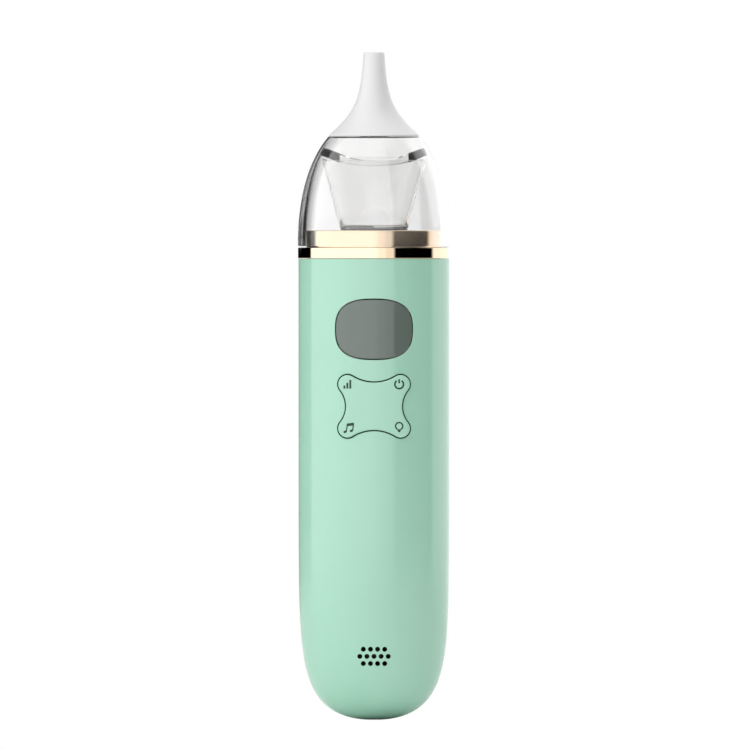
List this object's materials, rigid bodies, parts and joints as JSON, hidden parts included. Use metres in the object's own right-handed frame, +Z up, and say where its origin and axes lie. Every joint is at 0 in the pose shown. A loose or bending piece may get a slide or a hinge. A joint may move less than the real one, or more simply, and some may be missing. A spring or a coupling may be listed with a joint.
{
  "type": "electric nasal aspirator",
  "caption": "Slim cordless baby nasal aspirator: rounded housing with display, lobed key plate and speaker, plated collar, clear push-fit dome with a collection cup, and a soft nose tip.",
  "frame": {"origin": "middle of the flat foot, under the vertical centre line", "axes": "+Z up along the body towards the nose tip, front (display and keys) facing -Y, +X to the right seen from the front"},
  "size_m": [0.0388, 0.0388, 0.17],
  "materials": {
    "mint_plastic": "high-gloss moulded ABS in pale mint green",
    "gold_trim": "pale champagne-gold plating with mirror gloss",
    "clear_plastic": "clear polished polycarbonate",
    "white_silicone": "satin white silicone",
    "frosted_plastic": "translucent white plastic",
    "smoked_window": "glossy grey-green display window",
    "grey_rubber": "dull grey rubber",
    "white_plastic": "plain moulded white plastic",
    "black_plastic": "plain moulded black plastic",
    "steel": "bright steel",
    "ferrite": "dark sintered ferrite",
    "copper": "wound copper and laminated steel",
    "bronze": "sintered bronze",
    "circuit_board": "green solder mask",
    "battery_wrap": "plain blue shrink wrap",
    "filter_foam": "open off-white filter foam",
    "led_lens": "diffuse lamp lens",
    "cable_jacket": "soft dark jacket"
  },
  "bodies": {
    "housing": {"battery_cable": "cable_jacket", "battery_cell": "battery_wrap", "board_screw_1": "steel", "board_screw_2": "steel", "board_screw_3": "steel", "charge_board": "circuit_board", "charge_cable": "cable_jacket", "charge_socket": "steel", "diaphragm": "grey_rubber", "dome_gasket": "grey_rubber", "filter_pad": "filter_foam", "front_shell": "mint_plastic", "gold_collar": "gold_trim", "inner_frame": "white_plastic", "key_post": "white_plastic", "lcd_panel": "smoked_window", "lcd_window": "smoked_window", "led_board": "circuit_board", "left_magnet": "ferrite", "level_switch": "black_plastic", "light_switch": "black_plastic", "main_board": "circuit_board", "motor_cable": "cable_jacket", "motor_can": "steel", "motor_end_cap": "white_plastic", "music_switch": "black_plastic", "night_light": "led_lens", "plenum_cup": "frosted_plastic", "power_switch": "black_plastic", "pump_base": "black_plastic", "pump_head": "black_plastic", "pump_screw_1": "steel", "pump_screw_2": "steel", "pump_screw_3": "steel", "rear_shell": "mint_plastic", "right_magnet": "ferrite", "seat_plate": "frosted_plastic", "shaft_bush": "bronze", "speaker_cable": "cable_jacket", "speaker_frame": "black_plastic", "speaker_magnet": "ferrite", "suction_tube": "frosted_plastic", "valve_plate": "white_plastic", "valve_sheet": "grey_rubber"},
    "head_cup": {"collection_cup": "clear_plastic"},
    "dome": {"dome_cover": "clear_plastic", "splash_bar": "clear_plastic"},
    "tip": {"nozzle_tip": "white_silicone"},
    "key_gimbal": {"key_pivot": "black_plastic"},
    "key_pad": {"key_plate": "mint_plastic"},
    "level_button": {"level_plunger": "steel"},
    "power_button": {"power_plunger": "steel"},
    "music_button": {"music_plunger": "steel"},
    "light_button": {"light_plunger": "steel"},
    "port_flap": {"port_cover": "mint_plastic"},
    "rotor": {"motor_rotor": "copper", "crank_hub": "white_plastic", "drive_pin": "steel"},
    "wobble": {"wobble_frame": "white_plastic"},
    "cone": {"speaker_cone": "black_plastic"}
  },
  "joints": [
    {"name": "cup_lift", "type": "slide", "parent": "housing", "child": "head_cup", "axis": [0, 0, 1], "range_m": [0, 0.04]},
    {"name": "dome_lift", "type": "slide", "parent": "head_cup", "child": "dome", "axis": [0, 0, 1], "range_m": [0, 0.04]},
    {"name": "tip_pull", "type": "slide", "parent": "dome", "child": "tip", "axis": [0, 0, 1], "range_m": [0, 0.02]},
    {"name": "key_tilt_a", "type": "hinge", "parent": "housing", "child": "key_gimbal", "pos_m": [0, -0.0154, 0.0798], "axis": [-0.766, 0, 0.6428], "range_deg": [-2, 2], "stiffness_Nm_per_rad": 0.05},
    {"name": "key_tilt_b", "type": "hinge", "parent": "key_gimbal", "child": "key_pad", "pos_m": [0, -0.0154, 0.0798], "axis": [-0.766, 0, -0.6428], "range_deg": [-2, 2], "stiffness_Nm_per_rad": 0.05},
    {"name": "power_press", "type": "slide", "parent": "housing", "child": "power_button", "axis": [0, 1, 0], "range_m": [-0.00032, 0.00032], "stiffness_N_per_m": 4000},
    {"name": "music_press", "type": "slide", "parent": "housing", "child": "music_button", "axis": [0, 1, 0], "range_m": [-0.00033, 0.00033]},
    {"name": "level_press", "type": "slide", "parent": "housing", "child": "level_button", "axis": [0, 1, 0], "range_m": [-0.00032, 0.00032], "stiffness_N_per_m": 4000},
    {"name": "light_press", "type": "slide", "parent": "housing", "child": "light_button", "axis": [0, 1, 0], "range_m": [-0.00033, 0.00033]},
    {"name": "port_cover_open", "type": "hinge", "parent": "housing", "child": "port_flap", "pos_m": [0, 0.01895, 0.02805], "axis": [1, 0, 0], "range_deg": [0, 110]},
    {"name": "motor_spin", "type": "hinge", "parent": "housing", "child": "rotor", "pos_m": [0, 0.0045, 0.07], "axis": [0, 0, 1], "continuous": true},
    {"name": "wobble_turn", "type": "hinge", "parent": "rotor", "child": "wobble", "pos_m": [0, 0.0045, 0.0955], "axis": [0, 0.1644, 0.9864], "continuous": true},
    {"name": "cone_stroke", "type": "slide", "parent": "housing", "child": "cone", "axis": [0, 1, 0], "range_m": [-0.0003, 0.0003], "stiffness_N_per_m": 500}
  ],
  "couplings": [
    {"joint": "key_tilt_a", "follows": "power_press", "rad_per_m": 108.79},
    {"joint": "music_press", "follows": "power_press", "ratio": -1},
    {"joint": "key_tilt_b", "follows": "level_press", "rad_per_m": 108.79},
    {"joint": "light_press", "follows": "level_press", "ratio": -1},
    {"joint": "wobble_turn", "follows": "motor_spin", "ratio": -1}
  ]
}
